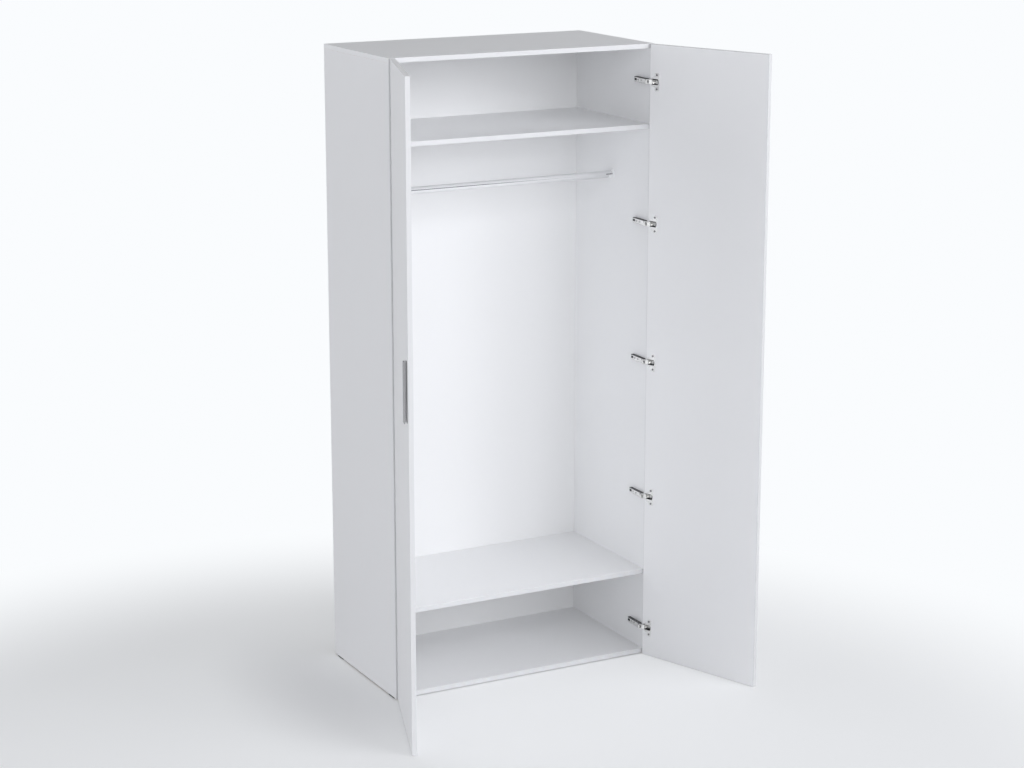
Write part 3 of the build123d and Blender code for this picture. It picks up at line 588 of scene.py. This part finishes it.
# Doors
# Full-height boards of the same laminate, with the white strip round all four edges.
# They stand open at 110 degrees, so their faces look along a line 20 degrees off the carcass.
door_opening = 110
door_turn = radians(door_opening - 90)
# The grey of each door's strip where it looks forward, and elsewhere. The plastic is the same;
# its greys differ by door and by side as painted light and shade
door_strip_painted_greys = {"left": (0.85, 0.72), "right": (0.70, 0.70)}
for side, way in sides.items():
    across = (way * cos(door_turn), sin(door_turn), 0)
    dress(laminated_board(f"{side}_door_board", face=across, flat=(2, 2, 1)), f"{side}_door_panel")
    dress(edge_strip(f"{side}_strip", *door_strip_painted_greys[side]), f"{side}_door_edge_band")


# Hinge cups
# Drawn from steel sheet and pressed into the doors. The flange and the middle of the cup are
# bright nickel; the walls are painted dark as painted shade. Two dark screws hold each flange.
# Painted shade inside the cups
cup_wall_painted_shade = (0.035, 0.035, 0.037, 1)
cup_screw_light = (0.29, 0.29, 0.295, 1)
cup_screw_dark = (0.23, 0.23, 0.235, 1)
# The bright middle of the cup ends this far from the door's hinged edge, and above and below its hinge;
# painted shade lies beyond
cup_far = 0.024
cup_high = 0.0045
cup_low = -0.0085


def cup_painted_shade_places(tree, coordinates, across, inner_face, along, hinged_edge):
    """1 where shade is painted on the walls of the cups, which lie below the door's inner face."""
    place = coordinates["Object"]
    depth = reckon_place(tree, "DOT_PRODUCT", place, across, gives="Value")
    reach = reckon_place(tree, "DOT_PRODUCT", place, along, gives="Value")
    height = hinge_height(tree, place)
    off_middle = any_of(
        tree,
        reckon(tree, "GREATER_THAN", reach, hinged_edge + cup_far),
        reckon(tree, "GREATER_THAN", height, cup_high),
        reckon(tree, "LESS_THAN", height, cup_low),
    )
    sunk = reckon(tree, "GREATER_THAN", depth, inner_face)
    return reckon(tree, "MULTIPLY", off_middle, sunk)


dark_screw = worked_metal(
    "dark_screw", cup_screw_light, cup_screw_dark, gloss=(0.3, 0.45), grain=1500.0
)
for side, way in sides.items():
    across = Vector((way * cos(door_turn), sin(door_turn), 0))
    along = Vector((way * sin(door_turn), -cos(door_turn), 0))
    door_points = [vertex.co for vertex in nodes[f"{side}_door_panel"].data.vertices]
    inner_face = min(point.dot(across) for point in door_points)
    hinged_edge = min(point.dot(along) for point in door_points)
    cup_nickel_and_shade = nickel_with_painted_shade(
        f"{side}_cup_nickel_and_shade", cup_wall_painted_shade, cup_painted_shade_places, across, inner_face, along, hinged_edge
    )
    dress(cup_nickel_and_shade, f"{side}_hinge_cups")
    dress(dark_screw, f"{side}_cup_screws")


# Pulls
# Slim aluminium sections, anodised satin grey, brushed along their length and fixed by hidden
# studs. The lip that looks at the door's free edge is painted a lighter grey and the bottom of
# the groove behind it is painted bright: painted light against the shade of the groove.
pull_light = (0.35, 0.355, 0.365, 1)
pull_dark = (0.31, 0.315, 0.325, 1)
lip_painted_light = (0.43, 0.435, 0.445, 1)
groove_painted_light = (0.90, 0.905, 0.915, 1)
groove_depth = 0.008
door_way = (sin(door_turn), cos(door_turn), 0)
lip_end = max(
    door_way[0] * abs(vertex.co.x) + door_way[1] * abs(vertex.co.y)
    for vertex in nodes["left_pull"].data.vertices
)
pull_grey = worked_metal(
    "pull_grey", pull_light, pull_dark, gloss=(0.4, 0.55), grain=900.0, stretch=(1, 1, 0.02)
)
tree = pull_grey.node_tree
shader = tree.nodes["Principled BSDF"]
anodised = shader.inputs["Base Color"].links[0].from_socket
coordinates = add_node(tree, "ShaderNodeTexCoord").outputs
mirrored = reckon_place(tree, "ABSOLUTE", coordinates["Object"])
reach = reckon_place(tree, "DOT_PRODUCT", mirrored, door_way, gives="Value")
lip = reckon(tree, "GREATER_THAN", reach, lip_end - groove_depth)
# Painted light on the lip and on the bottom of the groove
grip_painted_light = blend(tree, lip, groove_painted_light, lip_painted_light)
forward = reckon(tree, "LESS_THAN", split(tree, coordinates["Normal"])["Y"], -square_on)
feed(shader, {"Base Color": blend(tree, forward, anodised, grip_painted_light), "Metallic": 0.25})
for side in sides:
    dress(pull_grey, f"{side}_pull")
    dress(zinc_plate, f"{side}_pull_studs")


# Floor
# A wide pale floor that takes the shadow near the wardrobe and fades to white further out.
# Near the wardrobe a painted white glow lifts the floor and its shadow. The glow is weaker under
# the wardrobe, and weakest in a soft ellipse on its left, which paints the shadow darker there.
floor_grey = (0.90, 0.905, 0.915, 1)
white = (0.955, 0.973, 0.991, 1)
floor_half = 60.0
# How much painted white glow the floor has near the wardrobe, in the painted shadow on its left and
# underneath it
glow_near = 0.463
painted_shadow_white = 0.163
covered_near = 0.15
# The white grows whole between two distances from its centre
glow_centre = (-0.827, -0.959, 0.0)
glow_start = 1.754
glow_end = 2.996
# The painted shadow is a soft ellipse
painted_shadow_centre = (-0.641, 0.095, 0.0)
painted_shadow_reach = (0.46, 0.854, 1.0)
foot_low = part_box("left_side_panel")[0]
foot_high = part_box("right_side_panel")[1]


def seen(tree):
    """1 for what the camera sees, also in metal and through glass, and 0 for light that spreads."""
    rays = add_node(tree, "ShaderNodeLightPath").outputs
    return any_of(tree, *(rays[f"Is {kind} Ray"] for kind in ("Camera", "Glossy", "Transmission")))


floor_mesh = bpy.data.meshes.new("floor")
corners = [(-floor_half, -floor_half, 0), (floor_half, -floor_half, 0)]
corners += [(floor_half, floor_half, 0), (-floor_half, floor_half, 0)]
floor_mesh.from_pydata(corners, [], [(0, 1, 2, 3)])
floor = bpy.data.objects.new("floor", floor_mesh)
bpy.context.scene.collection.objects.link(floor)
floor_paint, tree, shader = new_material("floor_paint")
feed(shader, {"Base Color": floor_grey, "Roughness": 0.7, "Specular IOR Level": 0.2})
place = add_node(tree, "ShaderNodeTexCoord").outputs["Object"]
aside = reckon_place(tree, "SUBTRACT", place, painted_shadow_centre)
scaled = reckon_place(tree, "DIVIDE", aside, painted_shadow_reach)
reach = reckon_place(tree, "LENGTH", scaled, gives="Value")
painted_shadow_share = spread(tree, reach, (painted_shadow_white, glow_near), interpolation_type="SMOOTHSTEP")
outwards = reckon_place(tree, "DISTANCE", place, glow_centre, gives="Value")
fade = add_node(
    tree,
    "ShaderNodeMapRange",
    {"Value": outwards, "From Min": glow_start, "From Max": glow_end, "To Min": painted_shadow_share},
    interpolation_type="SMOOTHSTEP",
).outputs["Result"]
spot = split(tree, place)
uncovered = any_of(
    tree,
    reckon(tree, "LESS_THAN", spot["X"], foot_low.x),
    reckon(tree, "GREATER_THAN", spot["X"], foot_high.x),
    reckon(tree, "LESS_THAN", spot["Y"], foot_low.y),
    reckon(tree, "GREATER_THAN", spot["Y"], foot_high.y),
)
open_fade = spread(tree, uncovered, (covered_near, fade))
share = reckon(tree, "MULTIPLY", open_fade, seen(tree))
glow = add_node(tree, "ShaderNodeEmission", {"Color": white, "Strength": 1.0})
blended = add_node(
    tree,
    "ShaderNodeMixShader",
    {0: share, 1: shader.outputs["BSDF"], 2: glow.outputs["Emission"]},
)
feed(tree.nodes["Material Output"], {"Surface": blended.outputs["Shader"]})
floor_mesh.materials.append(floor_paint)


# Studio light
# A white sky that is brightest near the horizon, and four large soft lamps: two on the front
# right, one beside the camera and a weaker one on the left.
sky_tint = (0.958, 0.966, 1.0, 1)
horizon_level = 0.95
zenith_level = 0.104
sky_falloff = 2.0
lamp_aim = Vector((0, 0, 1.0))
lamp_size = 4.0
world = bpy.data.worlds.new("studio")
bpy.context.scene.world = world
world.use_nodes = True
tree = world.node_tree
direction = add_node(tree, "ShaderNodeTexCoord").outputs["Generated"]
lowness = spread(tree, split(tree, direction)["Z"], (1.0, 0.0))
falloff = reckon(tree, "POWER", lowness, sky_falloff)
level = reckon(tree, "MULTIPLY_ADD", falloff, horizon_level, zenith_level)
ambient = tree.nodes["Background"]
feed(ambient, {"Color": sky_tint, "Strength": level})
backdrop = add_node(tree, "ShaderNodeBackground", {"Color": white, "Strength": 1.0})
chosen = add_node(
    tree,
    "ShaderNodeMixShader",
    {0: seen(tree), 1: ambient.outputs["Background"], 2: backdrop.outputs["Background"]},
)
feed(tree.nodes["World Output"], {"Surface": chosen.outputs["Shader"]})
for name, place, power in (
    ("key_lamp", (5.0, -5.5, 4.6), 185.0),
    ("front_lamp", (3.0, -7.5, 4.6), 162.0),
    ("fill_lamp", (-3.0, -8.0, 4.5), 134.0),
    ("left_lamp", (-8.0, 0.5, 2.5), 85.0),
):
    lamp = bpy.data.lights.new(name, "AREA")
    lamp.color = sky_tint[:3]
    lamp.size = lamp_size
    lamp.energy = power
    lamp_object = bpy.data.objects.new(name, lamp)
    lamp_object.location = place
    lamp_object.rotation_mode = "QUATERNION"
    lamp_object.rotation_quaternion = (lamp_aim - Vector(place)).to_track_quat("-Z", "Y")
    bpy.context.scene.collection.objects.link(lamp_object)


# Camera
# It stands front left, a little above the wardrobe, and looks slightly down.
# Its place, turn and lens were fitted to the straight edges of the photograph.
camera_place = Vector((-3.7647, -7.0108, 3.0383))
camera_yaw = radians(27.991)
camera_pitch = radians(13.974)
camera_lens = 83.97
camera_far = 200.0
forward = Vector(
    (sin(camera_yaw) * cos(camera_pitch), cos(camera_yaw) * cos(camera_pitch), -sin(camera_pitch))
)
camera = bpy.data.objects.new("camera", bpy.data.cameras.new("camera"))
camera.data.lens = camera_lens
camera.data.clip_end = camera_far
camera.location = camera_place
camera.rotation_mode = "QUATERNION"
camera.rotation_quaternion = forward.to_track_quat("-Z", "Y")
bpy.context.scene.collection.objects.link(camera)
bpy.context.scene.camera = camera
bpy.context.scene.view_settings.view_transform = "Standard"
